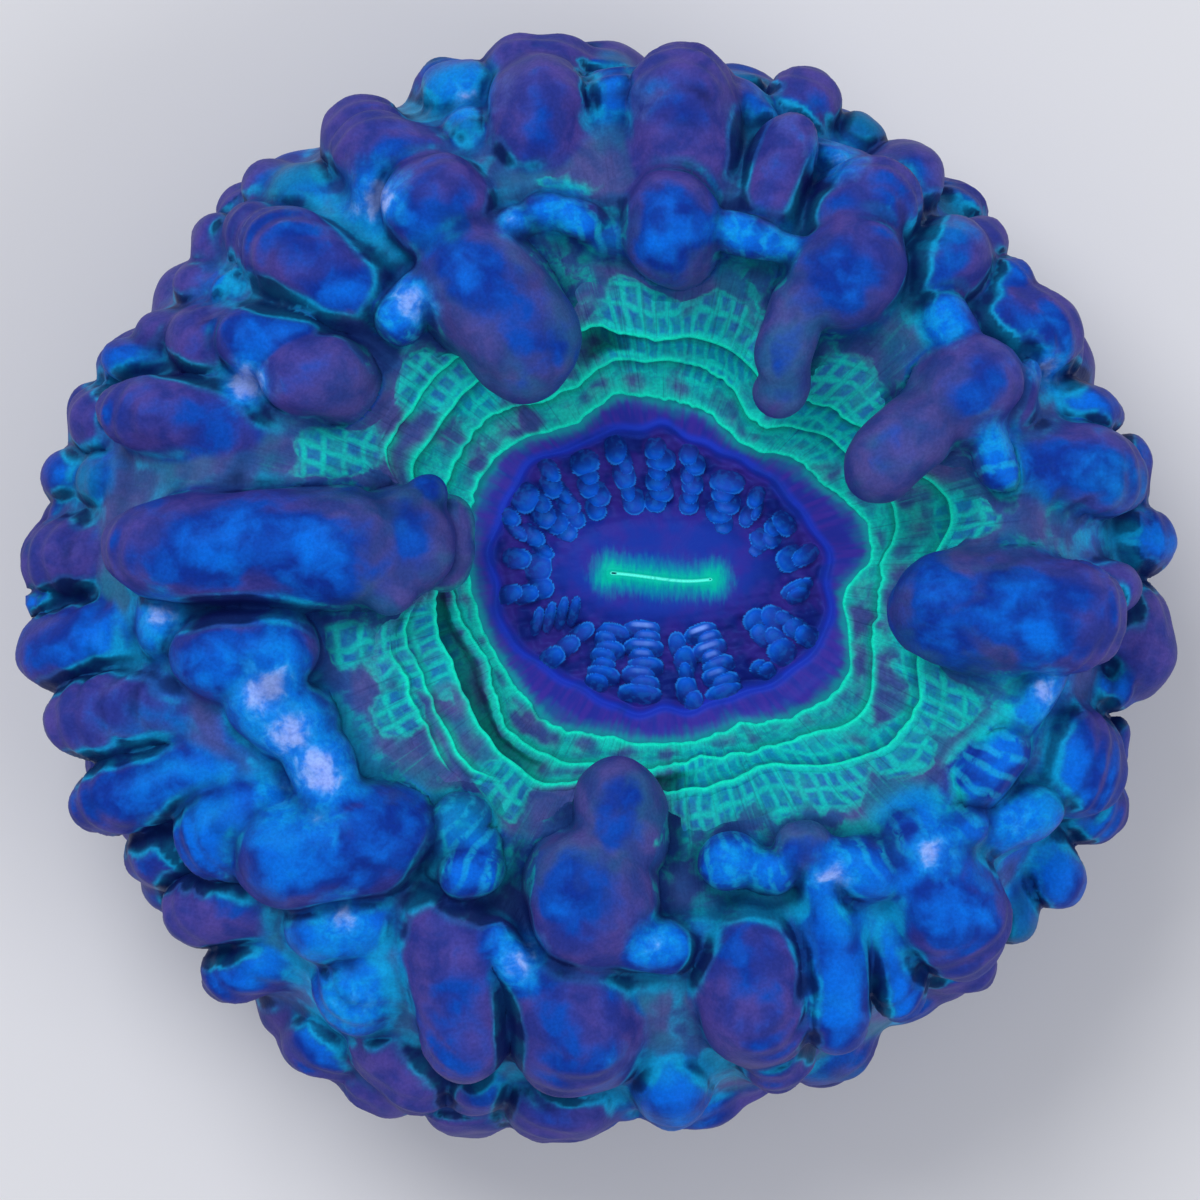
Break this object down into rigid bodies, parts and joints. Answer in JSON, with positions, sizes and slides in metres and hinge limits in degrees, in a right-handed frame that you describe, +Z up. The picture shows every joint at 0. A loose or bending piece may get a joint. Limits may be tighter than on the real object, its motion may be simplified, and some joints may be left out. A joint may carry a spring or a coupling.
{
  "type": "button coral",
  "caption": "Solitary fleshy button coral: a beaded oral disc and slit mouth inside wavy ledges, ringed by radial ridges of swollen bulges, cut flat underneath.",
  "frame": {"origin": "middle of the flat cut under the stony foot, on the surface that the coral rests on", "axes": "+Z up out of the cut and through the oral disc, +X to the right and +Y away from the viewer as seen from above, with the mouth slit along X"},
  "size_m": [0.0842, 0.0807, 0.036],
  "materials": {
    "flesh": "moist velvety living tissue, purple and blue bulges with teal and green ledges, over a stony foot"
  },
  "bodies": {
    "root": {"button_coral": "flesh"}
  },
  "joints": []
}
